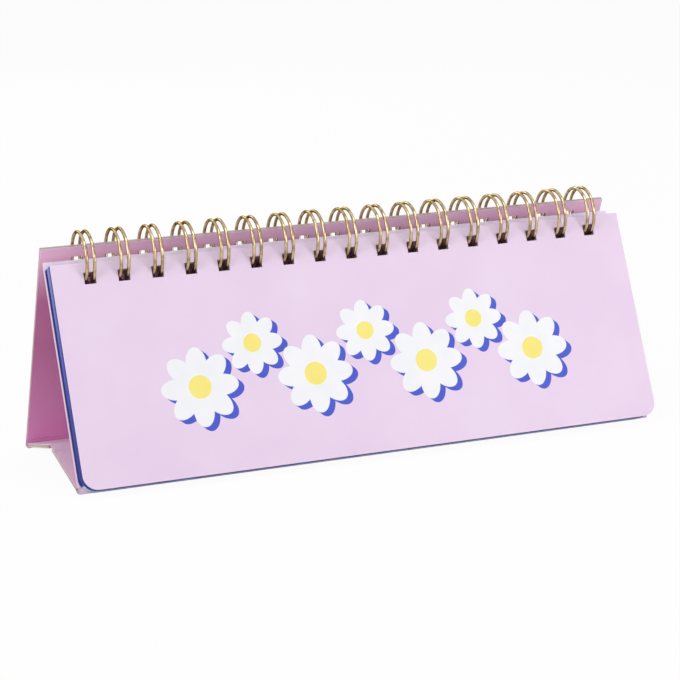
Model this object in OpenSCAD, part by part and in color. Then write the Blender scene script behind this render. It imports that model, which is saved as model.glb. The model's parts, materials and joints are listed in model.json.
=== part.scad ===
// Desk weekly planner: a folding card easel with a block of week leaves and a
// cover card bound along the top by a row of twin wire loops.
// Millimetres. X runs along the binding, Y from front to back, Z up from the desk.

/* [Cards] */
// height of the cover card and of every leaf
card_h = 81.8; // [60:0.2:120]
// card left beside the first and the last hole
side_margin = 11.7; // [6:0.1:20]
// radius of the two lower corners of the cards
corner_r = 5.5; // [2:0.5:12]
// thickness of the cover card
cover_t = 0.5; // [0.3:0.05:1]
// thickness of one leaf
leaf_t = 0.13; // [0.08:0.01:0.16]
// air between one leaf and the next
leaf_air = 0.012; // [0.01:0.002:0.03]
// leaves in each quarter of the year
quarter_leaves = 13; // [8:1:15]

/* [Easel boards] */
// how far the boards stand out past the cards at each side
board_over = 0.2; // [0.1:0.1:3]
// thickness of the grey board inside each panel
core_t = 1.2; // [0.8:0.1:2]
// thickness of each printed paper face
paper_t = 0.15; // [0.1:0.01:0.25]
// lean of the front board up from the desk, in degrees
front_lean = 67.2; // [60:0.2:72]
// lean of the back board up from the desk, in degrees
back_lean = 65; // [60:0.2:72]
// how far the front board rises above the cards
front_rise = 3.1; // [2:0.1:5]
// air between the last leaf and the front board
block_air = 0.1; // [0.05:0.01:0.5]
// air between the lowest leaf corner and the desk
desk_air = 0.2; // [0.1:0.05:2]

/* [Folding base] */
// height of the two lower fold lines above the desk, over the thickness of a board
fold_lift = 0.25; // [0.1:0.05:0.6]
// height of the ridge where the two base panels meet
ridge_z = 9.6; // [7:0.2:14]
// board left out beside the ridge, on each side
ridge_gutter = 2.4; // [2:0.1:4]
// board left out beside each lower fold
fold_gutter = 1.6; // [1.2:0.1:2.4]
// thickness of the paper that makes the lower folds
fold_paper = 0.3; // [0.2:0.05:0.4]
// height at which the paper of the lower folds bends in under the boards
bend_z = 0.7; // [0.5:0.05:0.9]
// slant of a lower fold under its board, from the bend in to the desk
toe_in = 0.55; // [0.3:0.05:0.8]
// slant of a lower fold towards its base panel, up from the desk
heel_in = 0.7; // [0.5:0.05:0.9]
// air between a lower fold and its base panel
fold_air = 0.08; // [0.04:0.02:0.12]
// thickness of the hinge tape along the ridge
tape_t = 0.2; // [0.1:0.05:0.4]
// width of tape stuck down on the front base panel
tape_hold = 3; // [1:0.5:8]
// width of tape that lies loose over the rear base panel
tape_lap = 1; // [0.4:0.1:3]
// air under the loose side of the tape
tape_air = 0.04; // [0.02:0.01:0.1]

/* [Wire binding] */
// number of twin loops
loops = 17; // [6:1:24]
// distance from one twin loop to the next
loop_pitch = 12.7; // [8:0.1:16]
// radius of the loops, to the middle of the wire
ring_r = 9.8; // [9:0.1:12]
// thickness of the wire
wire_d = 1.2; // [0.8:0.05:1.4]
// distance between the two wires of one loop
twin_gap = 2.8; // [2:0.05:4]
// air between the wire and the sides and lower edge of a hole
wire_air = 0.2; // [0.1:0.05:0.4]
// room left over the wire in the holes of the cards and the front board
hole_spare = 1.68; // [0.4:0.02:3]
// card left between the holes and the top edge of the cards
hole_edge = 3.6; // [2:0.1:6]
// distance from the outer face of the back board out to the inside of the loops
back_inset = 0.84; // [0.4:0.02:1.2]
// drop from the top of the back board to the level of the ring centre
back_drop = 0.62; // [0:0.02:2]
// angle from the front board round to the spine of the wire, inside the easel
seam_turn = 39.8; // [36:0.2:44]
// angle between the spine of the wire and the tips of the loops
tip_angle = 12; // [11:0.5:16]
// how much slimmer the cross pieces are than the wire, on each side
cross_inset = 0.06; // [0.04:0.01:0.1]

/* [Hidden] */
$fn = 64;
corner_steps = 10;

// the boards, and the leaves and cover in front of them
board_t = core_t + 2 * paper_t;
leaf_step = leaf_t + leaf_air;
quarter_t = quarter_leaves * leaf_step;
block_t = 4 * quarter_t;
block_back = -board_t - block_air;
block_front = block_back - block_t;
stack_front = block_front - leaf_air - cover_t;

// the wire, the holes it needs and the widths that the row of holes sets
wire_outer = ring_r + wire_d / 2;
wire_inner = ring_r - wire_d / 2;
run_on = atan(wire_d / 2 / ring_r);
cross_d = wire_d - 2 * cross_inset;
seam_angle = 180 + front_lean + seam_turn;
hole_w = twin_gap + wire_d + 2 * wire_air;
hole_h = wire_air + wire_outer - sqrt(pow(wire_inner, 2) - pow(stack_front / 2, 2)) + hole_spare;
card_w = (loops - 1) * loop_pitch + hole_w + 2 * side_margin;
board_w = card_w + 2 * board_over;

// a point of the front board's frame: up its inner face, then out behind it
function at_front(up, out) = [up * cos(front_lean) + out * sin(front_lean),
                              up * sin(front_lean) - out * cos(front_lean)];

card_low = (desk_air + block_back * cos(front_lean)) / sin(front_lean);
card_top = card_low + card_h;
hole_low = card_top - hole_edge - hole_h;
board_top = card_top + front_rise;
ring_up = hole_low + wire_air + wire_outer;
ring_out = stack_front / 2;
ring = at_front(ring_up, ring_out);

// the back board's frame: down its inner face from the top edge
fold_z = board_t + fold_lift;
down = [cos(back_lean), -sin(back_lean)];
outward = [sin(back_lean), cos(back_lean)];
back_out = wire_inner - back_inset - board_t;
back_top = ring + back_out * outward - back_drop * down;
back_len = (back_top[1] - fold_z) / sin(back_lean);
rear = back_top + back_len * down;
wire_near = sqrt(pow(wire_inner, 2) - pow(back_out + board_t, 2));
wire_far = sqrt(pow(wire_outer, 2) - pow(back_out, 2));
back_hole = back_drop + wire_near - wire_air;
back_hole_h = wire_far - wire_near + 2 * wire_air;
function at_rear(along, out) = rear + along * down + out * outward;

// the base: the front fold, the ridge midway and the slopes of the two panels
fold_up = fold_z / sin(front_lean);
front = at_front(fold_up, 0);
ridge = [(front[0] + rear[0]) / 2, ridge_z];
front_slope = atan2(ridge[1] - front[1], ridge[0] - front[0]);
rear_slope = atan2(ridge[1] - rear[1], rear[0] - ridge[0]);
front_len = norm(ridge - front);
rear_len = norm(ridge - rear);

// the paper folds under the two boards: where they bend in and where they end
board_low = fold_up + fold_paper;
bend_up = (bend_z - board_t * cos(front_lean)) / sin(front_lean);
bend_down = (fold_z + board_t * cos(back_lean) - bend_z) / sin(back_lean);
bend_front = at_front(bend_up, -board_t);
bend_rear = at_rear(bend_down, board_t);
function foot_in(slope) = fold_gutter * cos(slope) + board_t * sin(slope);
function foot_up(slope) = fold_z + fold_gutter * sin(slope) - board_t * cos(slope);
front_foot = [front[0] + foot_in(front_slope), foot_up(front_slope)];
rear_foot = [rear[0] - foot_in(rear_slope), foot_up(rear_slope)];
mid_y = (at_front(card_low, stack_front)[0] + bend_rear[0]) / 2;

// every shape is drawn about the desk point under the middle of the planner
module placed() {
  translate([0, -mid_y, 0])
    children();
}

// a row of punched holes, drawn up from their lower edge
module holes_2d(height) {
  for (i = [0 : loops - 1])
    translate([(i - (loops - 1) / 2) * loop_pitch - hole_w / 2, 0])
      square([hole_w, height]);
}

// a plate parallel to the front board, from one depth to another behind its inner face
module front_plate(from_out, to_out) {
  placed()
    rotate([front_lean, 0, 0])
      translate([0, 0, -to_out])
        linear_extrude(height = to_out - from_out)
          children();
}

// a plate parallel to the back board, from one depth to another outside its inner face
module back_plate(from_out, to_out) {
  placed()
    translate([0, back_top[0], back_top[1]])
      rotate([-back_lean, 0, 0])
        translate([0, 0, from_out])
          linear_extrude(height = to_out - from_out)
            children();
}

// outline of the front board with its holes
module front_outline() {
  difference() {
    translate([-board_w / 2, board_low])
      square([board_w, board_top - board_low]);
    translate([0, hole_low])
      holes_2d(hole_h);
  }
}

// outline of the back board with its holes, drawn down from its top edge
module back_outline() {
  difference() {
    translate([-board_w / 2, 0])
      square([board_w, back_len - fold_gutter]);
    translate([0, back_hole])
      holes_2d(back_hole_h);
  }
}

// outline of a card or leaf: square above, round at the two lower corners
module card_outline() {
  turn = 90 / corner_steps;
  centre = [card_w / 2 - corner_r, card_low + corner_r];
  left = [for (i = [0 : corner_steps])
            [-centre[0] - corner_r * cos(i * turn), centre[1] - corner_r * sin(i * turn)]];
  right = [for (i = [corner_steps : -1 : 0])
             [centre[0] + corner_r * cos(i * turn), centre[1] - corner_r * sin(i * turn)]];
  difference() {
    polygon(concat([[-card_w / 2, card_top]], left, right, [[card_w / 2, card_top]]));
    translate([0, hole_low])
      holes_2d(hole_h);
  }
}

// one layer of the front base panel, between two depths under its top face
module base_front_layer(from_down, to_down) {
  placed()
    translate([0, front[0], front[1]])
      rotate([front_slope, 0, 0])
        translate([-board_w / 2, fold_gutter, -to_down])
          cube([board_w, front_len - ridge_gutter - fold_gutter, to_down - from_down]);
}

// one layer of the rear base panel, between two depths under its top face
module base_rear_layer(from_down, to_down) {
  placed()
    translate([0, rear[0], rear[1]])
      rotate([-rear_slope, 0, 0])
        translate([-board_w / 2, ridge_gutter - rear_len, -to_down])
          cube([board_w, rear_len - ridge_gutter - fold_gutter, to_down - from_down]);
}

// a strip of paper running the whole width, from its outline seen from the side
module strip(outline) {
  placed()
    rotate([90, 0, 90])
      linear_extrude(height = board_w, center = true)
        polygon(outline);
}

// the leaves of one quarter, counted from the back of the block
module quarter(index) {
  first = block_back - index * quarter_t;
  for (i = [0 : quarter_leaves - 1])
    front_plate(first - i * leaf_step - leaf_t, first - i * leaf_step)
      card_outline();
}

// grey board inside the front panel
module front_core() {
  color("#a89a98")
    front_plate(-board_t + paper_t, -paper_t)
      front_outline();
}

// printed paper on the side of the front panel that carries the leaves
module front_face_paper() {
  color("#ead2e4")
    front_plate(-board_t, -board_t + paper_t)
      front_outline();
}

// paper on the inside of the front panel
module front_lining_paper() {
  color("#d9a9c8")
    front_plate(-paper_t, 0)
      front_outline();
}

// paper fold that joins the front panel to the base and stands on the desk
module front_fold() {
  color("#e2bdd6")
    strip([at_front(board_low, -board_t),
           bend_front,
           [bend_front[0] + toe_in, 0],
           [front_foot[0] - heel_in, 0],
           [front_foot[0] - fold_air, front_foot[1] - fold_air],
           [front_foot[0] - fold_paper, front_foot[1] + fold_air],
           [front_foot[0] - heel_in - fold_air, fold_paper],
           [bend_front[0] + toe_in + fold_paper / 2, fold_paper],
           at_front(bend_up + fold_air, -board_t + fold_paper),
           at_front(board_low, -board_t + fold_paper)]);
}

// one turn of wire, from the spine all the way round to the tip
module turn_of_wire(x) {
  translate([x, ring[0], ring[1]])
    rotate([90, 0, 90])
      rotate([0, 0, seam_angle + tip_angle - run_on])
        rotate_extrude(angle = 360 - tip_angle + 2 * run_on)
          translate([ring_r, 0])
            circle(d = wire_d);
}

// a straight piece of wire along the binding, from one wire into the next
module wire_along(from_x, to_x, angle) {
  spot = ring + ring_r * [cos(angle), sin(angle)];
  translate([from_x, spot[0], spot[1]])
    rotate([0, 90, 0])
      cylinder(d = cross_d, h = to_x - from_x);
}

// the twin wire loops: one wire bent to and fro, closed inside the easel
module binding_wire() {
  color("#c9a96a")
    placed()
      union() {
        for (i = [0 : loops - 1]) {
          x = (i - (loops - 1) / 2) * loop_pitch;
          turn_of_wire(x - twin_gap / 2);
          turn_of_wire(x + twin_gap / 2);
          wire_along(x - twin_gap / 2, x + twin_gap / 2, seam_angle + tip_angle);
          if (i < loops - 1)
            wire_along(x + twin_gap / 2, x + loop_pitch - twin_gap / 2, seam_angle);
        }
      }
}

// grey board inside the back panel
module back_core() {
  color("#a89a98")
    back_plate(paper_t, board_t - paper_t)
      back_outline();
}

// paper on the inside of the back panel
module back_lining_paper() {
  color("#d9a9c8")
    back_plate(0, paper_t)
      back_outline();
}

// printed paper on the outside of the back panel
module back_face_paper() {
  color("#ead2e4")
    back_plate(board_t - paper_t, board_t)
      back_outline();
}

// paper fold that joins the back panel to the base and stands on the desk
module rear_fold() {
  color("#e2bdd6")
    strip([at_rear(-fold_gutter, board_t),
           bend_rear,
           [bend_rear[0] - toe_in, 0],
           [rear_foot[0] + heel_in, 0],
           [rear_foot[0] + fold_air, rear_foot[1] - fold_air],
           [rear_foot[0] + fold_paper, rear_foot[1] + fold_air],
           [rear_foot[0] + heel_in + fold_air, fold_paper],
           [bend_rear[0] - toe_in - fold_paper / 2, fold_paper],
           at_rear(bend_down - fold_air, board_t - fold_paper),
           at_rear(-fold_gutter, board_t - fold_paper)]);
}

// grey board inside the front base panel
module base_front_core() {
  color("#a89a98")
    base_front_layer(paper_t, board_t - paper_t);
}

// paper on top of the front base panel
module base_front_top_paper() {
  color("#d9a9c8")
    base_front_layer(0, paper_t);
}

// paper under the front base panel
module base_front_under_paper() {
  color("#ead2e4")
    base_front_layer(board_t - paper_t, board_t);
}

// hinge tape along the ridge, stuck to the front base panel
module ridge_tape() {
  front_dir = [cos(front_slope), sin(front_slope)];
  front_rise_dir = [-sin(front_slope), cos(front_slope)];
  rear_dir = [cos(rear_slope), -sin(rear_slope)];
  rear_rise_dir = [sin(rear_slope), cos(rear_slope)];
  hold = front + (front_len - ridge_gutter - tape_hold) * front_dir;
  lap = ridge + (ridge_gutter + tape_lap) * rear_dir;
  color("#e2bdd6")
    strip([hold,
           ridge + [0, tape_air],
           lap + tape_air * rear_rise_dir,
           lap + (tape_air + tape_t) * rear_rise_dir,
           ridge + [0, tape_air + tape_t],
           hold + tape_t * front_rise_dir]);
}

// grey board inside the rear base panel
module base_rear_core() {
  color("#a89a98")
    base_rear_layer(paper_t, board_t - paper_t);
}

// paper on top of the rear base panel
module base_rear_top_paper() {
  color("#d9a9c8")
    base_rear_layer(0, paper_t);
}

// paper under the rear base panel
module base_rear_under_paper() {
  color("#ead2e4")
    base_rear_layer(board_t - paper_t, board_t);
}

// the last thirteen week leaves, next to the front board
module leaves_fourth_quarter() {
  color("#3c4aa0")
    quarter(0);
}

// the week leaves of the third quarter
module leaves_third_quarter() {
  color("#3c4aa0")
    quarter(1);
}

// the week leaves of the second quarter
module leaves_second_quarter() {
  color("#3c4aa0")
    quarter(2);
}

// the first thirteen week leaves, behind the cover
module leaves_first_quarter() {
  color("#3c4aa0")
    quarter(3);
}

// the stiff lilac cover card in front of the leaves
module cover_card() {
  color("#e6d3e9")
    front_plate(stack_front, stack_front + cover_t)
      card_outline();
}

front_core();
front_face_paper();
front_lining_paper();
front_fold();
binding_wire();
back_core();
back_lining_paper();
back_face_paper();
rear_fold();
base_front_core();
base_front_top_paper();
base_front_under_paper();
ridge_tape();
base_rear_core();
base_rear_top_paper();
base_rear_under_paper();
leaves_fourth_quarter();
leaves_third_quarter();
leaves_second_quarter();
leaves_first_quarter();
cover_card();
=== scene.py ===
import json
import math
import random

import bmesh
import bpy
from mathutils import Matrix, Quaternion, Vector
from mathutils.geometry import delaunay_2d_cdt


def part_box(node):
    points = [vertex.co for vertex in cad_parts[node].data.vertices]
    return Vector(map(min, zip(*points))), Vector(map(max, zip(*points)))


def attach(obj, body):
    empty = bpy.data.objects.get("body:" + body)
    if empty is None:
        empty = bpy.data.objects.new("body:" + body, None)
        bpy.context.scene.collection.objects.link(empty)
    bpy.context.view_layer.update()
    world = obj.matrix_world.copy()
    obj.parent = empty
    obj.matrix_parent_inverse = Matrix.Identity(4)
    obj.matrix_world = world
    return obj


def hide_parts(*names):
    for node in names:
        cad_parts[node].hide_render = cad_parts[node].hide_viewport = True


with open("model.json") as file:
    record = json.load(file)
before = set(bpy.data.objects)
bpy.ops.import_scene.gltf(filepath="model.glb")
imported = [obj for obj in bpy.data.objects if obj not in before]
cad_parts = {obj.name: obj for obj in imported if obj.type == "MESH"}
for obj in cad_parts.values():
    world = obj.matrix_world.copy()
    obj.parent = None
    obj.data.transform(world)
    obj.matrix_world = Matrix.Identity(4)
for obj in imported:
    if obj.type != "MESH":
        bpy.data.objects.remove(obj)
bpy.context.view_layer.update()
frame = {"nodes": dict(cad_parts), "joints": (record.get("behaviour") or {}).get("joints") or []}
nodes = frame["nodes"]


# Front board of the easel: a panel of grey board, cut square and punched along its top.
# Lilac paper is pasted over its front and turned round the cut edges, and the side that
# faces into the tent is lined with pink paper.
MM = 0.001
# The front's lilac is painted lighter than the same paper on the back: painted light on the band
# that shows above the cover, where it lies in shade.
FACE_LILAC_PAINTED_LIGHT = (249, 232, 250)
FACE_LILAC_PAINTED_LIGHT_DEEP = (246, 228, 247)
PINK_LINING = (253, 206, 235)
PINK_LINING_DEEP = (245, 200, 227)
# Painted shade and light on the pink lining, blended in by height: a deeper pink just inside the
# tent, a paler one towards its foot.
PINK_INSIDE_PAINTED_SHADE = (210, 134, 180)
PINK_FOOT_PAINTED_LIGHT = (242, 166, 216)
LINING_PAINTED_LIGHT_AND_SHADE = ((PINK_INSIDE_PAINTED_SHADE, 76 * MM, 62 * MM), (PINK_FOOT_PAINTED_LIGHT, 42 * MM, 4 * MM))
TURNED_EDGE = (238, 216, 233)
TURNED_EDGE_DEEP = (226, 196, 219)
PAPER_SHEEN = 0.3
CLOUD_DETAIL = 5
CLOUD_SPAN = (0.3, 0.68)
FIBRE_SCALE = 2400
FIBRE_DETAIL = 3
FIBRE_HEIGHT = 0.05 * MM


def tint(colour):
    """A colour as it looks on a screen, 0 to 255 a channel, in the shader's linear terms."""
    shares = [level / 255 for level in colour]
    linear = [s / 12.92 if s <= 0.04045 else ((s + 0.055) / 1.055) ** 2.4 for s in shares]
    return (*linear, 1)


def paper_finish(name, colour, deeper, cloud=90, tooth=0.08, rough=(0.55, 0.72)):
    """Paper: a faint cloudiness in its colour, and a fine tooth of fibres in its surface."""
    finish = bpy.data.materials.new(name)
    finish.use_nodes = True
    tree = finish.node_tree
    shader = tree.nodes["Principled BSDF"]
    shader.inputs["Specular IOR Level"].default_value = PAPER_SHEEN
    place = tree.nodes.new("ShaderNodeTexCoord")
    place.name = "place"
    clouds = tree.nodes.new("ShaderNodeTexNoise")
    clouds.name = "clouds"
    clouds.inputs["Scale"].default_value = cloud
    clouds.inputs["Detail"].default_value = CLOUD_DETAIL
    shades = tree.nodes.new("ShaderNodeValToRGB")
    shades.name = "shades"
    for stop, at, ink in zip(shades.color_ramp.elements, CLOUD_SPAN, (deeper, colour)):
        stop.position = at
        stop.color = tint(ink)
    fibres = tree.nodes.new("ShaderNodeTexNoise")
    fibres.inputs["Scale"].default_value = FIBRE_SCALE
    fibres.inputs["Detail"].default_value = FIBRE_DETAIL
    dull = tree.nodes.new("ShaderNodeMapRange")
    dull.inputs["To Min"].default_value = rough[0]
    dull.inputs["To Max"].default_value = rough[1]
    bump = tree.nodes.new("ShaderNodeBump")
    bump.inputs["Strength"].default_value = tooth
    bump.inputs["Distance"].default_value = FIBRE_HEIGHT
    tree.links.new(place.outputs["Object"], clouds.inputs["Vector"])
    tree.links.new(place.outputs["Object"], fibres.inputs["Vector"])
    tree.links.new(clouds.outputs["Fac"], shades.inputs["Fac"])
    tree.links.new(shades.outputs["Color"], shader.inputs["Base Color"])
    tree.links.new(fibres.outputs["Fac"], dull.inputs["Value"])
    tree.links.new(dull.outputs["Result"], shader.inputs["Roughness"])
    tree.links.new(fibres.outputs["Fac"], bump.inputs["Height"])
    tree.links.new(bump.outputs["Normal"], shader.inputs["Normal"])
    return finish


def lining_finish(name):
    """Pink lining paper, with painted shade by height: deeper just inside the tent, and painted
    lighter again towards its foot.
    """
    finish = paper_finish(name, PINK_LINING, PINK_LINING_DEEP, cloud=60)
    tree = finish.node_tree
    heights = tree.nodes.new("ShaderNodeSeparateXYZ")
    tree.links.new(tree.nodes["place"].outputs["Object"], heights.inputs["Vector"])
    printed = tree.nodes["shades"].outputs["Color"]
    # Painted shade, then painted light: the pink deepens below the top of the lining and pales
    # again near the foot.
    for colour, top, low in LINING_PAINTED_LIGHT_AND_SHADE:
        depth = tree.nodes.new("ShaderNodeMapRange")
        depth.inputs["From Min"].default_value = top
        depth.inputs["From Max"].default_value = low
        step = tree.nodes.new("ShaderNodeMix")
        step.data_type = "RGBA"
        step.inputs["B"].default_value = tint(colour)
        tree.links.new(heights.outputs["Z"], depth.inputs["Value"])
        tree.links.new(depth.outputs["Result"], step.inputs["Factor"])
        tree.links.new(printed, step.inputs["A"])
        printed = step.outputs["Result"]
    tree.links.new(printed, tree.nodes["Principled BSDF"].inputs["Base Color"])
    return finish


def dress(node, finish):
    """Gives a CAD node its finish in place of the plain one that it came with."""
    nodes[node].data.materials.clear()
    nodes[node].data.materials.append(finish)


face_lilac_painted_light = paper_finish("face_lilac_painted_light", FACE_LILAC_PAINTED_LIGHT, FACE_LILAC_PAINTED_LIGHT_DEEP)
pink_lining = lining_finish("pink_lining")
turned_edge = paper_finish("turned_edge", TURNED_EDGE, TURNED_EDGE_DEEP, cloud=500)
dress("front_face_paper", face_lilac_painted_light)
dress("front_lining_paper", pink_lining)
dress("front_core", turned_edge)


# Back board of the easel: the same grey board, longer than the front one by the loops.
# Its papers are trimmed flush with the board, so the raw grey layers show at the cut edges.
GREY_BOARD = (220, 204, 195)
GREY_BOARD_DARK = (154, 136, 129)
LILAC_PAPER = (234, 212, 233)
LILAC_PAPER_DEEP = (230, 207, 229)
BACK_LEAN = math.radians(65)
BOARD_GRAIN = (40 * MM, 40 * MM, 0.3 * MM)
GRAIN_DETAIL = 3
GRAIN_TOOTH = 0.5
GREY_BOARD_ROUGH = (0.8, 0.95)


def grey_board_finish(name, tilt):
    """Cut grey board: pressed layers of waste paper, in streaks along the board's cut edges."""
    finish = paper_finish(name, GREY_BOARD, GREY_BOARD_DARK, tooth=GRAIN_TOOTH,
                          rough=GREY_BOARD_ROUGH)
    tree = finish.node_tree
    layers = tree.nodes.new("ShaderNodeMapping")
    layers.vector_type = "TEXTURE"
    layers.inputs["Rotation"].default_value = (tilt, 0, 0)
    layers.inputs["Scale"].default_value = BOARD_GRAIN
    streaks = tree.nodes["clouds"]
    streaks.inputs["Scale"].default_value = 1
    streaks.inputs["Detail"].default_value = GRAIN_DETAIL
    tree.links.new(tree.nodes["place"].outputs["Object"], layers.inputs["Vector"])
    tree.links.new(layers.outputs["Vector"], streaks.inputs["Vector"])
    return finish


dress("back_core", grey_board_finish("grey_board_back", -BACK_LEAN))
dress("back_lining_paper", pink_lining)
lilac_paper = paper_finish("lilac_paper", LILAC_PAPER, LILAC_PAPER_DEEP)
dress("back_face_paper", lilac_paper)


# Base of the easel: two narrow panels of the same board between the front and back boards.
# They meet at a ridge that stands up inside the tent, and fold up into it when it is closed.
BASE_PINK = (252, 226, 250)
BASE_PINK_DEEP = (246, 217, 243)
BASE_SLOPE = math.radians(12.45)

base_pink = paper_finish("base_pink", BASE_PINK, BASE_PINK_DEEP, cloud=45)
for panel, tilt in (("base_front", BASE_SLOPE), ("base_rear", -BASE_SLOPE)):
    dress(panel + "_core", grey_board_finish("grey_board_" + panel, tilt))
    dress(panel + "_top_paper", base_pink)
    dress(panel + "_under_paper", lilac_paper)


# Paper folds under the two boards, on which the planner stands, and hinge paper along the
# ridge: single strips with no board in them, creased once and pasted down along both sides.
# The ridge paper is parted along its crest, so that each base panel takes its half with it.
FOLD_PINK = (233, 204, 228)
FOLD_PINK_DEEP = (226, 194, 220)
FRONT_LEAN = math.radians(67.2)
FOLD_THICK = 0.3 * MM
TAPE_THICK = 0.2 * MM
BEND_HEIGHT = 0.7 * MM
TOE_IN = 0.55 * MM
HEEL_IN = 0.62 * MM
HEEL_TIP = 0.11 * MM
HEEL_HEIGHT = 0.63 * MM
CREASE = 0.28 * MM
RIDGE_CREASE = 1.1 * MM
RIDGE_BEND = 0.45 * MM
RIDGE_CUT = 0.03 * MM
CREASE_STEPS = 6
CREASE_PAPER = 0.12 * MM
CREASE_GAP = 0.1 * MM
FOLD_GUTTER = 1.6 * MM


def made(name, mesh, *finishes):
    """Links a finished bmesh into the scene as a piece with its finishes."""
    bmesh.ops.recalc_face_normals(mesh, faces=mesh.faces)
    data = bpy.data.meshes.new(name)
    mesh.to_mesh(data)
    mesh.free()
    for finish in finishes:
        data.materials.append(finish)
    piece = bpy.data.objects.new(name, data)
    bpy.context.scene.collection.objects.link(piece)
    return piece


def folded_strip(name, corners, crease, thick, half_width, finish):
    """A strip of paper along X: corners are (y, z) on its middle line, rounded by the crease."""
    line = [Vector(corners[0])]
    for before, corner, after in zip(corners, corners[1:], corners[2:]):
        corner = Vector(corner)
        start = corner + (Vector(before) - corner).normalized() * crease
        end = corner + (Vector(after) - corner).normalized() * crease
        for step in range(CREASE_STEPS + 1):
            share = step / CREASE_STEPS
            line.append(start.lerp(corner, share).lerp(corner.lerp(end, share), share))
    line.append(Vector(corners[-1]))
    mesh = bmesh.new()
    rows = []
    for i, point in enumerate(line):
        along = (line[min(i + 1, len(line) - 1)] - line[max(i - 1, 0)]).normalized()
        across = Vector((-along.y, along.x)) * thick / 2
        sides = (point + across, point - across)
        rows.append([mesh.verts.new((x, side.x, side.y))
                     for x in (-half_width, half_width) for side in sides])
    for row, after in zip(rows, rows[1:]):
        for a, b in ((0, 2), (2, 3), (3, 1), (1, 0)):
            mesh.faces.new((row[a], row[b], after[b], after[a]))
    mesh.faces.new([rows[0][i] for i in (0, 1, 3, 2)])
    mesh.faces.new([rows[-1][i] for i in (0, 2, 3, 1)])
    return made(name, mesh, finish)


def joint_spot(name):
    """Where a joint's axis runs, in the frame."""
    return Vector(next(j["pos_m"] for j in frame["joints"] if j["name"] == name))


fold_pink = paper_finish("fold_pink", FOLD_PINK, FOLD_PINK_DEEP, cloud=70)

low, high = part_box("front_fold")
board_top = (low.y + (high.z - BEND_HEIGHT) / math.tan(FRONT_LEAN), high.z)
front_fold = folded_strip(
    "front_fold_paper",
    [(board_top[0] + math.sin(FRONT_LEAN) * FOLD_THICK / 2,
      board_top[1] - math.cos(FRONT_LEAN) * FOLD_THICK / 2),
     (low.y + FOLD_THICK / 2, BEND_HEIGHT),
     (low.y + TOE_IN, FOLD_THICK / 2),
     (high.y - HEEL_IN, FOLD_THICK / 2),
     (high.y - HEEL_TIP, HEEL_HEIGHT)],
    CREASE, FOLD_THICK, high.x, fold_pink)
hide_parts("front_fold")
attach(front_fold, "stand_front")

low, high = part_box("rear_fold")
board_top = (high.y - (high.z - BEND_HEIGHT) / math.tan(BACK_LEAN), high.z)
rear_fold = folded_strip(
    "rear_fold_paper",
    [(board_top[0] - math.sin(BACK_LEAN) * FOLD_THICK / 2,
      board_top[1] - math.cos(BACK_LEAN) * FOLD_THICK / 2),
     (high.y - FOLD_THICK / 2, BEND_HEIGHT),
     (high.y - TOE_IN, FOLD_THICK / 2),
     (low.y + HEEL_IN, FOLD_THICK / 2),
     (low.y + HEEL_TIP, HEEL_HEIGHT)],
    CREASE, FOLD_THICK, high.x, fold_pink)
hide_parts("rear_fold")
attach(rear_fold, "back_panel")

low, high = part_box("ridge_tape")
ridge_y = (joint_spot("base_front_fold").y + joint_spot("base_rear_fold").y) / 2
ridge_z = high.z - TAPE_THICK / 2
crest_half = RIDGE_CREASE * math.cos(BASE_SLOPE) / 2
crest_z = ridge_z - crest_half * math.tan(BASE_SLOPE)
for name, body, outer_y, way in (("ridge_paper_front", "base_front", low.y, -1),
                                 ("ridge_paper_rear", "base_rear", high.y, 1)):
    half = folded_strip(
        name,
        [(outer_y, ridge_z - abs(outer_y - ridge_y) * math.tan(BASE_SLOPE)),
         (ridge_y + way * crest_half, crest_z),
         (ridge_y + way * RIDGE_CUT, crest_z)],
        RIDGE_BEND, TAPE_THICK, high.x, base_pink)
    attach(half, body)
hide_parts("ridge_tape")

for name, body, joint, run, inward, finish in (
        ("front_crease_lining", "stand_front", "base_front_fold",
         (math.cos(FRONT_LEAN), math.sin(FRONT_LEAN)), -1, pink_lining),
        ("front_crease_base", "base_front", "base_front_fold",
         (math.cos(BASE_SLOPE), math.sin(BASE_SLOPE)), 1, base_pink),
        ("rear_crease_lining", "back_panel", "base_rear_fold",
         (-math.cos(BACK_LEAN), math.sin(BACK_LEAN)), 1, pink_lining),
        ("rear_crease_base", "base_rear", "base_rear_fold",
         (-math.cos(BASE_SLOPE), math.sin(BASE_SLOPE)), -1, base_pink)):
    fold_line = joint_spot(joint)
    run = Vector(run)
    start = (Vector((fold_line.y, fold_line.z)) + run * CREASE_GAP
             + Vector((run.y, -run.x)) * inward * CREASE_PAPER / 2)
    crease = folded_strip(name, [start, start + run * (FOLD_GUTTER - 2 * CREASE_GAP)],
                          CREASE, CREASE_PAPER, high.x, finish)
    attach(crease, body)


# Twin-wire binding: one gold coloured wire bent to and fro into hairpin loops, then rolled
# round until the tips of the loops close against its spine, which hides inside the tent.
LOOPS = 17
LOOP_PITCH = 12.7 * MM
RING_RADIUS = 9.8 * MM
WIRE_RADIUS = 0.6 * MM
TWIN_HALF = 1.4 * MM
SPINE_ANGLE = 287
TIP_ANGLE = 299 - 360
ARC_STEP = 4
CORNER_TURNS = 7
GOLD = (214, 192, 150)
GOLD_WORN = (160, 138, 98)
# The dark rim tint is painted shade: it darkens the wire's reflections towards its rims, in place
# of dark surroundings.
GOLD_RIM_PAINTED_SHADE = (92, 74, 44)
GOLD_ROUGH = (0.14, 0.24)
WEAR_SCALE = 420
WEAR_DETAIL = 4
WEAR_SPAN = (0.35, 0.62)
DRAW_MARK_SCALE = 2600
DRAW_MARK_STRENGTH = 0.1
DRAW_MARK_HEIGHT = 0.02 * MM
WIRE_ROUNDNESS = 3


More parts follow.
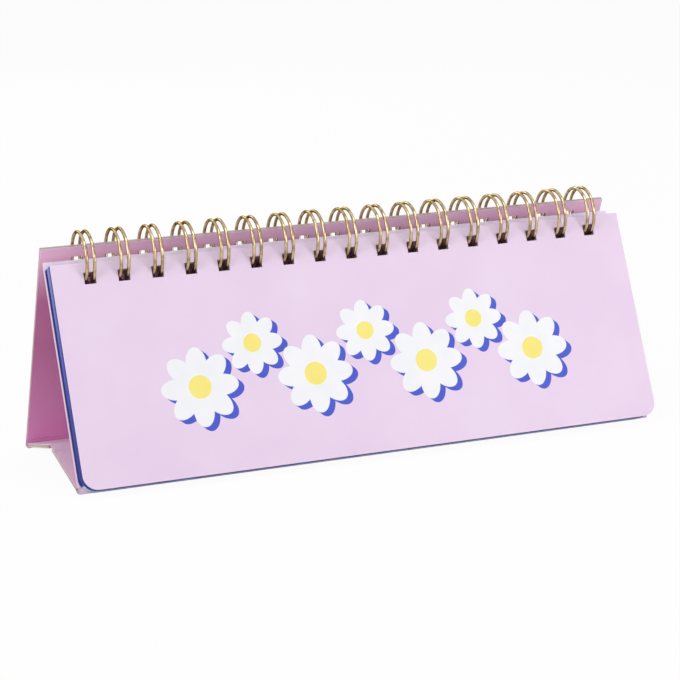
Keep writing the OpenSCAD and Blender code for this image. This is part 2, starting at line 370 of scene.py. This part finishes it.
def gold_finish(name, colour, worn):
    """Bright gold coloured wire, a little duller where it was drawn and rolled."""
    finish = bpy.data.materials.new(name)
    finish.use_nodes = True
    tree = finish.node_tree
    shader = tree.nodes["Principled BSDF"]
    shader.inputs["Metallic"].default_value = 1
    # Painted shade: the dark rim tint darkens reflections towards the wire's rims.
    shader.inputs["Specular Tint"].default_value = tint(GOLD_RIM_PAINTED_SHADE)
    place = tree.nodes.new("ShaderNodeTexCoord")
    patches = tree.nodes.new("ShaderNodeTexNoise")
    patches.inputs["Scale"].default_value = WEAR_SCALE
    patches.inputs["Detail"].default_value = WEAR_DETAIL
    shades = tree.nodes.new("ShaderNodeValToRGB")
    for stop, at, gold in zip(shades.color_ramp.elements, WEAR_SPAN, (worn, colour)):
        stop.position = at
        stop.color = tint(gold)
    dull = tree.nodes.new("ShaderNodeMapRange")
    dull.inputs["To Min"].default_value = GOLD_ROUGH[0]
    dull.inputs["To Max"].default_value = GOLD_ROUGH[1]
    marks = tree.nodes.new("ShaderNodeTexNoise")
    marks.inputs["Scale"].default_value = DRAW_MARK_SCALE
    bump = tree.nodes.new("ShaderNodeBump")
    bump.inputs["Strength"].default_value = DRAW_MARK_STRENGTH
    bump.inputs["Distance"].default_value = DRAW_MARK_HEIGHT
    tree.links.new(place.outputs["Object"], marks.inputs["Vector"])
    tree.links.new(marks.outputs["Fac"], bump.inputs["Height"])
    tree.links.new(bump.outputs["Normal"], shader.inputs["Normal"])
    tree.links.new(place.outputs["Object"], patches.inputs["Vector"])
    tree.links.new(patches.outputs["Fac"], shades.inputs["Fac"])
    tree.links.new(patches.outputs["Fac"], dull.inputs["Value"])
    tree.links.new(shades.outputs["Color"], shader.inputs["Base Color"])
    tree.links.new(dull.outputs["Result"], shader.inputs["Roughness"])
    return finish


ring_centre = joint_spot("easel_fold")
corner_angle = math.degrees(TWIN_HALF / RING_RADIUS)


def on_ring(x, angle):
    """A point of the wire's middle line: along the binding, and round the loops in degrees."""
    turn = math.radians(angle)
    return ring_centre + Vector((x, RING_RADIUS * math.cos(turn), RING_RADIUS * math.sin(turn)))


def wire_corner(x, angle, side, way, leaving):
    """A quarter turn between the run along the binding and the run round the loop."""
    turns = [90 * i / CORNER_TURNS for i in range(CORNER_TURNS + 1)]
    spots = [on_ring(x + side * TWIN_HALF * (1 - math.cos(math.radians(t))),
                     angle + way * corner_angle * (1 - math.sin(math.radians(t))))
             for t in turns]
    return spots[::-1] if leaving else spots


wire_line = []
for loop in range(LOOPS):
    middle = (loop - (LOOPS - 1) / 2) * LOOP_PITCH
    first, last = middle - TWIN_HALF, middle + TWIN_HALF
    arc_from, arc_to = SPINE_ANGLE - corner_angle, TIP_ANGLE + corner_angle
    steps = int((arc_from - arc_to) / ARC_STEP)
    arc = [arc_from + (arc_to - arc_from) * i / steps for i in range(1, steps)]
    wire_line += wire_corner(first, SPINE_ANGLE, -1, -1, True)
    wire_line += [on_ring(first, angle) for angle in arc]
    wire_line += wire_corner(first, TIP_ANGLE, 1, 1, False)
    wire_line += wire_corner(last, TIP_ANGLE, -1, 1, True)[1:]
    wire_line += [on_ring(last, angle) for angle in reversed(arc)]
    wire_line += wire_corner(last, SPINE_ANGLE, 1, -1, False)

curve = bpy.data.curves.new("wire_line", "CURVE")
curve.dimensions = "3D"
curve.bevel_depth = WIRE_RADIUS
curve.bevel_resolution = WIRE_ROUNDNESS
curve.use_fill_caps = True
spline = curve.splines.new("POLY")
spline.points.add(len(wire_line) - 1)
for point, spot in zip(spline.points, wire_line):
    point.co = (*spot, 1)
drawn = bpy.data.objects.new("wire_line", curve)
bpy.context.scene.collection.objects.link(drawn)
solid = bpy.data.meshes.new_from_object(drawn.evaluated_get(bpy.context.evaluated_depsgraph_get()))
bpy.data.objects.remove(drawn)
solid.polygons.foreach_set("use_smooth", [True] * len(solid.polygons))
solid.materials.clear()
solid.materials.append(gold_finish("gold_wire", GOLD, GOLD_WORN))
binding_wire = bpy.data.objects.new("twin_wire_binding", solid)
bpy.context.scene.collection.objects.link(binding_wire)
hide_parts("binding_wire")
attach(binding_wire, "stand_front")


# Week leaves: four quarters of thirteen sheets, each printed with a week of seven columns
# and a blue border that bleeds off the sheet, so the cut edges of the block look blue.
# They are punched together and threaded on the loops.
CARD_HEIGHT = 81.8 * MM
CARD_CORNER = 5.5 * MM
CORNER_POINTS = 10
HOLE = 4.4 * MM
HOLE_LOW = 73.8 * MM
LEAF_THICK = 0.13 * MM
LEAF_STEP = 0.142 * MM
QUARTER_LEAVES = 13
SIDE_PLAY = 0.03 * MM
BORDER = 2.4 * MM
PANEL_TOP = 70 * MM
BAND_LOW = 63 * MM
RULED_TOP = 61 * MM
RULED_LOW = 7 * MM
RULED_LINES = 6
LINE_WIDTH = 0.35 * MM
DAYS = 7
PAGE_WHITE = (244, 242, 246)
PAGE_WHITE_DEEP = (241, 239, 244)
PAGE_BLUE = (74, 90, 205)
PAGE_BLUE_DEEP = (66, 80, 190)
PAGE_LILAC = (222, 205, 232)
PAGE_LILAC_DEEP = (214, 196, 226)
PAGE_LINE = (168, 176, 224)
PAGE_LINE_DEEP = (158, 166, 216)
# Edge colours run from navy to a pale grey. The pale end is painted light on the feet of the rear
# leaves and on the tops of the middle leaves. The darker tones of the front leaves and their feet
# are painted shade behind and under the cover.
EDGE_NAVY = (17, 23, 88)
EDGE_SLATE = (56, 57, 104)
EDGE_MID = (88, 99, 178)
EDGE_PALE = (150, 158, 211)
EDGE_PAINTED_LIGHT = (238, 240, 246)
EDGE_SHEEN = 0.05
EDGE_STEPS = ((0.3, EDGE_SLATE), (0.55, EDGE_MID), (0.8, EDGE_PALE))
FOOT_PAINTED_LIGHT = (0.95, 1)
FOOT_PAINTED_SHADE = (0.2, 0.35)
PAINTED_LIGHT_FOOT_UP_TO = 0.6
EDGE_TONES = ((0.38, (0, 0.35), (0, 0.08)), (0.86, (0, 0.6), (0.75, 0.9)),
              (math.inf, (0.25, 0.55), (0.25, 0.4)))
LEAF_CHANCE = 52
SAME_POINT = 1e-7
INSIDE_ONLY = 1
# The hole walls are white paper painted a dark mauve: painted shade inside the holes, with a
# painted pink cast of light from the lining.
PUNCHED_PAINTED_SHADE = (188, 140, 160)
PUNCHED_PAINTED_SHADE_DEEP = (160, 108, 130)

card_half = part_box("cover_card")[1].x


def box_outline(left, low_edge, right, top_edge):
    """A rectangle's corners in card terms: across, and up from the lower edge."""
    return [(left, low_edge), (right, low_edge), (right, top_edge), (left, top_edge)]


def card_outline():
    """A card: square at the top, round at the two lower corners."""
    centre = card_half - CARD_CORNER
    turns = [math.pi / 2 * i / CORNER_POINTS for i in range(CORNER_POINTS + 1)]
    left = [(-centre - CARD_CORNER * math.cos(t), CARD_CORNER * (1 - math.sin(t))) for t in turns]
    right = [(-x, up) for x, up in reversed(left)]
    return [(-card_half, CARD_HEIGHT)] + left + right + [(card_half, CARD_HEIGHT)]


def card_holes():
    """The row of square holes for the loops."""
    for loop in range(LOOPS):
        middle = (loop - (LOOPS - 1) / 2) * LOOP_PITCH
        yield box_outline(middle - HOLE / 2, HOLE_LOW, middle + HOLE / 2, HOLE_LOW + HOLE)


def printed_face(prints):
    """Cuts a card's face along its prints, later ones on top: points, triangles and inks."""
    holes = list(card_holes())
    outlines = [card_outline()] + holes + [outline for outline, ink in prints]
    inks = [0] + [None] * len(holes) + [ink for outline, ink in prints]
    points = [Vector(point) for outline in outlines for point in outline]
    loops, start = [], 0
    for outline in outlines:
        loops.append(list(range(start, start + len(outline))))
        start += len(outline)
    spots, _, faces, _, _, from_loops = delaunay_2d_cdt(
        points, [], loops, INSIDE_ONLY, SAME_POINT)
    triangles, colours = [], []
    for face, sources in zip(faces, from_loops):
        if 0 not in sources or any(inks[i] is None for i in sources):
            continue
        triangles.append(tuple(face))
        colours.append(inks[max(sources)])
    return spots, triangles, colours


def leaning(node, depth):
    """Maps card terms (across, up, back from the front face) to the frame, for a stack of cards."""
    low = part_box(node)[0]
    corner = Vector((0, low.y, low.z + depth * math.cos(FRONT_LEAN)))
    rise = Vector((0, math.cos(FRONT_LEAN), math.sin(FRONT_LEAN)))
    back = Vector((0, math.sin(FRONT_LEAN), -math.cos(FRONT_LEAN)))
    return lambda across, up, out: corner + Vector((across, 0, 0)) + rise * up + back * out


def add_card(mesh, face, place, shift, out, thick, reverse, edge, punched):
    """Adds one card to a mesh: its printed front, its reverse, the cut edge and the hole walls."""
    spots, triangles, colours = face
    front = [mesh.verts.new(place(p.x + shift[0], p.y + shift[1], out)) for p in spots]
    rear = [mesh.verts.new(place(p.x + shift[0], p.y + shift[1], out + thick)) for p in spots]
    sides = set()
    for triangle, ink in zip(triangles, colours):
        mesh.faces.new([front[i] for i in triangle]).material_index = ink
        mesh.faces.new([rear[i] for i in reversed(triangle)]).material_index = reverse
        for a, b in zip(triangle, triangle[1:] + triangle[:1]):
            sides.symmetric_difference_update({(a, b)} if (b, a) not in sides else {(b, a)})
    for a, b in sides:
        middle = (spots[a] + spots[b]) / 2
        in_hole = (abs(middle.x) < card_half - CARD_CORNER
                   and HOLE_LOW <= middle.y < CARD_HEIGHT - HOLE / 2)
        wall = mesh.faces.new((front[b], front[a], rear[a], rear[b]))
        wall.material_index = punched if in_hole else edge
    for vert in front + rear:
        if not vert.link_faces:
            mesh.verts.remove(vert)


def leaf_edge_finish(name):
    """The cut edges of the block: sheet after sheet of blue, some lighter, some in shade."""
    finish = paper_finish(name, EDGE_MID, EDGE_NAVY, cloud=300)
    tree = finish.node_tree
    tree.nodes["Principled BSDF"].inputs["Specular IOR Level"].default_value = EDGE_SHEEN
    tone = tree.nodes.new("ShaderNodeAttribute")
    tone.attribute_name = "leaf_tone"
    ramp = tree.nodes["shades"].color_ramp
    ramp.elements[0].position = 0
    ramp.elements[0].color = tint(EDGE_NAVY)
    ramp.elements[1].position = 1
    ramp.elements[1].color = tint(EDGE_PAINTED_LIGHT)
    for share, colour in EDGE_STEPS:
        ramp.elements.new(share).color = tint(colour)
    tree.links.new(tone.outputs["Fac"], tree.nodes["shades"].inputs["Fac"])
    return finish


def leaf_tones(share, chance):
    """Tones of a leaf's cut edge: foot, lower part and top. The front leaf has share 1."""
    # Painted light on the feet of the rear leaves, painted shade on the feet of the front ones.
    foot = chance.uniform(*(FOOT_PAINTED_LIGHT if share < PAINTED_LIGHT_FOOT_UP_TO else FOOT_PAINTED_SHADE))
    lower, upper = next(tones for limit, *tones in EDGE_TONES if share < limit)
    return foot, chance.uniform(*lower), chance.uniform(*upper)


page_finishes = [
    paper_finish("page_border", PAGE_BLUE, PAGE_BLUE_DEEP),
    paper_finish("page_white", PAGE_WHITE, PAGE_WHITE_DEEP),
    paper_finish("page_band", PAGE_LILAC, PAGE_LILAC_DEEP),
    paper_finish("page_lines", PAGE_LINE, PAGE_LINE_DEEP),
    leaf_edge_finish("leaf_edges"),
    # Painted shade on the hole walls.
    paper_finish("leaf_punched", PUNCHED_PAINTED_SHADE, PUNCHED_PAINTED_SHADE_DEEP, cloud=700),
]
BORDER_INK, WHITE_INK, BAND_INK, LINE_INK, EDGE_INK, PUNCHED_INK = range(6)

panel_half = card_half - BORDER
day_width = 2 * panel_half / DAYS
week = [(box_outline(-panel_half, BORDER, panel_half, CARD_HEIGHT - BORDER), WHITE_INK),
        (box_outline(-panel_half, BAND_LOW, panel_half, PANEL_TOP), BAND_INK)]
for day in range(1, DAYS):
    x = -panel_half + day * day_width
    week.append((box_outline(x - LINE_WIDTH, RULED_LOW, x + LINE_WIDTH, PANEL_TOP), LINE_INK))
for row in range(RULED_LINES):
    up = RULED_LOW + (RULED_TOP - RULED_LOW) * row / RULED_LINES
    for day in range(DAYS):
        x = -panel_half + day * day_width
        line = box_outline(x + BORDER, up, x + day_width - BORDER, up + LINE_WIDTH)
        week.append((line, LINE_INK))
week_page = printed_face(week)

chance = random.Random(LEAF_CHANCE)
quarter_depth = (QUARTER_LEAVES - 1) * LEAF_STEP + LEAF_THICK
for index, (quarter, body) in enumerate((("fourth", "later_leaves"), ("third", "later_leaves"),
                                         ("second", "later_leaves"), ("first", "first_leaves"))):
    node = f"leaves_{quarter}_quarter"
    place = leaning(node, quarter_depth)
    mesh = bmesh.new()
    tone = mesh.verts.layers.float.new("leaf_tone")
    for leaf in range(QUARTER_LEAVES):
        shift = (chance.uniform(-SIDE_PLAY, SIDE_PLAY), chance.uniform(-SIDE_PLAY, SIDE_PLAY) / 2)
        known = len(mesh.verts)
        add_card(mesh, week_page, place, shift, leaf * LEAF_STEP, LEAF_THICK, WHITE_INK,
                 EDGE_INK, PUNCHED_INK)
        share = ((index + 1) * QUARTER_LEAVES - 1 - leaf) / (4 * QUARTER_LEAVES - 1)
        foot, lower, upper = leaf_tones(share, chance)
        foot_top = place(0, CARD_CORNER / 2, leaf * LEAF_STEP).z
        card_top = place(0, CARD_HEIGHT, leaf * LEAF_STEP).z
        mesh.verts.ensure_lookup_table()
        for vert in mesh.verts[known:]:
            rise = (vert.co.z - foot_top) / (card_top - foot_top)
            vert[tone] = foot if rise < 0 else lower + (upper - lower) * rise
    leaves = made(f"week_leaves_{quarter}", mesh, *page_finishes)
    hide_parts(node)
    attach(leaves, body)


# Cover card: stiff lilac card, punched and rounded like the leaves and hung in front of them.
# Its print is a plain row of seven daisies, one for each day, in white with yellow middles
# and a royal blue shadow.
COVER_THICK = 0.5 * MM
COVER_LILAC = (231, 211, 234)
COVER_LILAC_DEEP = (227, 205, 230)
COVER_EDGE = (246, 234, 245)
COVER_EDGE_DEEP = (238, 222, 238)
COVER_REVERSE = (242, 234, 243)
COVER_REVERSE_DEEP = (240, 231, 241)
INK_BLUE = (74, 90, 205)
INK_BLUE_DEEP = (68, 83, 198)
INK_WHITE = (243, 243, 246)
INK_WHITE_DEEP = (237, 238, 242)
INK_YELLOW = (246, 232, 133)
INK_YELLOW_DEEP = (243, 226, 120)
COVER_ROUGH = (0.42, 0.55)
DAISY_RADIUS = (14.5 * MM, 11.5 * MM)
DAISY_LEVEL = (32 * MM, 46 * MM)
DAISY_SPACING = 22.5 * MM
PETALS = 8
PETAL_POINTS = 28
PETAL_OUT = 0.6
PETAL_LONG = 0.42
PETAL_WIDE = 0.27
DAISY_MIDDLE = 0.3
SHADOW_RUN = (1.9 * MM, -1.7 * MM)


def rounded(x, up, along, across, turn, run):
    """An ellipse's outline, drawn out along a run as a slanting shadow is."""
    ahead = Vector((math.cos(turn), math.sin(turn)))
    aside = Vector((-ahead.y, ahead.x))
    outline = []
    for i in range(PETAL_POINTS):
        c, s = math.cos(2 * math.pi * i / PETAL_POINTS), math.sin(2 * math.pi * i / PETAL_POINTS)
        spot = Vector((x, up)) + ahead * along * c + aside * across * s
        if (ahead * c / along + aside * s / across).dot(run) > 0:
            spot += run
        outline.append(tuple(spot))
    return outline


def daisy(x, up, radius, run, ink):
    """A flower's petals round its middle, each with its ink."""
    for petal in range(PETALS):
        turn = 2 * math.pi * petal / PETALS
        petal_x = x + PETAL_OUT * radius * math.cos(turn)
        petal_up = up + PETAL_OUT * radius * math.sin(turn)
        yield rounded(petal_x, petal_up, PETAL_LONG * radius, PETAL_WIDE * radius,
                      turn, run), ink


LILAC_INK, SHADOW_INK, PETAL_INK, MIDDLE_INK, REVERSE_INK, CUT_INK = range(6)
cover_finishes = [
    paper_finish("cover_lilac", COVER_LILAC, COVER_LILAC_DEEP, cloud=30, rough=COVER_ROUGH),
    paper_finish("cover_blue", INK_BLUE, INK_BLUE_DEEP, rough=COVER_ROUGH),
    paper_finish("cover_white", INK_WHITE, INK_WHITE_DEEP, rough=COVER_ROUGH),
    paper_finish("cover_yellow", INK_YELLOW, INK_YELLOW_DEEP, rough=COVER_ROUGH),
    paper_finish("cover_reverse", COVER_REVERSE, COVER_REVERSE_DEEP),
    paper_finish("cover_cut_edge", COVER_EDGE, COVER_EDGE_DEEP, cloud=600),
]
daisies = [((day - DAYS // 2) * DAISY_SPACING, DAISY_LEVEL[day % 2], DAISY_RADIUS[day % 2])
           for day in range(DAYS)]
still, shadow_run = Vector((0, 0)), Vector(SHADOW_RUN)
cover_print = [petal for x, up, r in daisies for petal in daisy(x, up, r, shadow_run, SHADOW_INK)]
cover_print += [petal for x, up, r in daisies for petal in daisy(x, up, r, still, PETAL_INK)]
cover_print += [(rounded(x, up, DAISY_MIDDLE * r, DAISY_MIDDLE * r, 0, still), MIDDLE_INK)
                for x, up, r in daisies]
mesh = bmesh.new()
add_card(mesh, printed_face(cover_print), leaning("cover_card", COVER_THICK), (0, 0), 0,
         COVER_THICK, REVERSE_INK, CUT_INK, CUT_INK)
cover = made("cover_with_daisies", mesh, *cover_finishes)
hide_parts("cover_card")
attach(cover, "cover")


# Studio: a plain white floor that keeps a faint shadow, and four soft lamps: a low key from
# the right front, a fill from the left, one from above and one from behind. The camera
# stands at the photograph's angle.
FLOOR_SIZE = 30
FLOOR_WHITE = 0.9
FLOOR_ROUGH = 0.9
FLOOR_GLOW = 0.95
KEY_AT = (0.5, -0.7, 0.2)
KEY_SIZE = 0.35
KEY_POWER = 1.9
FILL_AT = (-1.2, -0.55, 0.6)
FILL_SIZE = 0.8
FILL_POWER = 7.2
BACK_AT = (-0.2, 1.5, 0.8)
BACK_SIZE = 0.9
BACK_POWER = 6.4
TOP_AT = (0.1, -0.42, 1.3)
TOP_SIZE = 0.4
TOP_POWER = 3.6
LIGHT_TARGET = Vector((0, 0, 0.045))
WORLD_LIGHT = 0.425
CAMERA_AT = Vector((-0.30192, -0.73052, 0.20706))
CAMERA_HEADING = math.radians(22.423)
CAMERA_PITCH = math.radians(-12.110)
CAMERA_ROLL = math.radians(1.518)
CAMERA_LENS = 111.21
CAMERA_FILM = 36
CAMERA_NEAREST = 0.01


def seen_plainly(tree):
    """1 for rays that show the background itself: straight, in a reflection or through glass."""
    paths = tree.nodes.new("ShaderNodeLightPath")
    seen = paths.outputs["Is Camera Ray"]
    for ray in ("Is Glossy Ray", "Is Transmission Ray"):
        either = tree.nodes.new("ShaderNodeMath")
        either.operation = "MAXIMUM"
        tree.links.new(seen, either.inputs[0])
        tree.links.new(paths.outputs[ray], either.inputs[1])
        seen = either.outputs["Value"]
    return seen


floor_mesh = bmesh.new()
bmesh.ops.create_grid(floor_mesh, x_segments=1, y_segments=1, size=FLOOR_SIZE / 2)
floor_finish = bpy.data.materials.new("studio_floor")
floor_finish.use_nodes = True
tree = floor_finish.node_tree
tree.nodes["Principled BSDF"].inputs["Base Color"].default_value = (FLOOR_WHITE,) * 3 + (1,)
tree.nodes["Principled BSDF"].inputs["Roughness"].default_value = FLOOR_ROUGH
glow = tree.nodes.new("ShaderNodeEmission")
glow.inputs["Strength"].default_value = 1
share = tree.nodes.new("ShaderNodeMath")
share.operation = "MULTIPLY"
share.inputs[1].default_value = FLOOR_GLOW
mix = tree.nodes.new("ShaderNodeMixShader")
tree.links.new(seen_plainly(tree), share.inputs[0])
tree.links.new(share.outputs["Value"], mix.inputs["Fac"])
tree.links.new(tree.nodes["Principled BSDF"].outputs["BSDF"], mix.inputs[1])
tree.links.new(glow.outputs["Emission"], mix.inputs[2])
tree.links.new(mix.outputs["Shader"], tree.nodes["Material Output"].inputs["Surface"])
floor = made("studio_floor", floor_mesh, floor_finish)

for name, spot, size, power in (("key_light", KEY_AT, KEY_SIZE, KEY_POWER),
                                ("fill_light", FILL_AT, FILL_SIZE, FILL_POWER),
                                ("back_light", BACK_AT, BACK_SIZE, BACK_POWER),
                                ("top_light", TOP_AT, TOP_SIZE, TOP_POWER)):
    lamp = bpy.data.lights.new(name, "AREA")
    lamp.size = size
    lamp.energy = power
    holder = bpy.data.objects.new(name, lamp)
    holder.location = spot
    holder.rotation_euler = (LIGHT_TARGET - Vector(spot)).to_track_quat("-Z", "Y").to_euler()
    bpy.context.scene.collection.objects.link(holder)

world = bpy.data.worlds.new("studio")
world.use_nodes = True
tree = world.node_tree
strength = tree.nodes.new("ShaderNodeMapRange")
strength.inputs["To Min"].default_value = WORLD_LIGHT
strength.inputs["To Max"].default_value = 1
tree.nodes["Background"].inputs["Color"].default_value = (1, 1, 1, 1)
tree.links.new(seen_plainly(tree), strength.inputs["Value"])
tree.links.new(strength.outputs["Result"], tree.nodes["Background"].inputs["Strength"])
bpy.context.scene.world = world

camera = bpy.data.cameras.new("photo_camera")
camera.lens = CAMERA_LENS
camera.sensor_width = CAMERA_FILM
camera.clip_start = CAMERA_NEAREST
holder = bpy.data.objects.new("photo_camera", camera)
ahead = Vector((math.sin(CAMERA_HEADING) * math.cos(CAMERA_PITCH),
                math.cos(CAMERA_HEADING) * math.cos(CAMERA_PITCH), math.sin(CAMERA_PITCH)))
holder.location = CAMERA_AT
holder.rotation_mode = "QUATERNION"
holder.rotation_quaternion = Quaternion(ahead, CAMERA_ROLL) @ ahead.to_track_quat("-Z", "Y")
bpy.context.scene.collection.objects.link(holder)
bpy.context.scene.camera = holder
bpy.context.scene.view_settings.view_transform = "Standard"
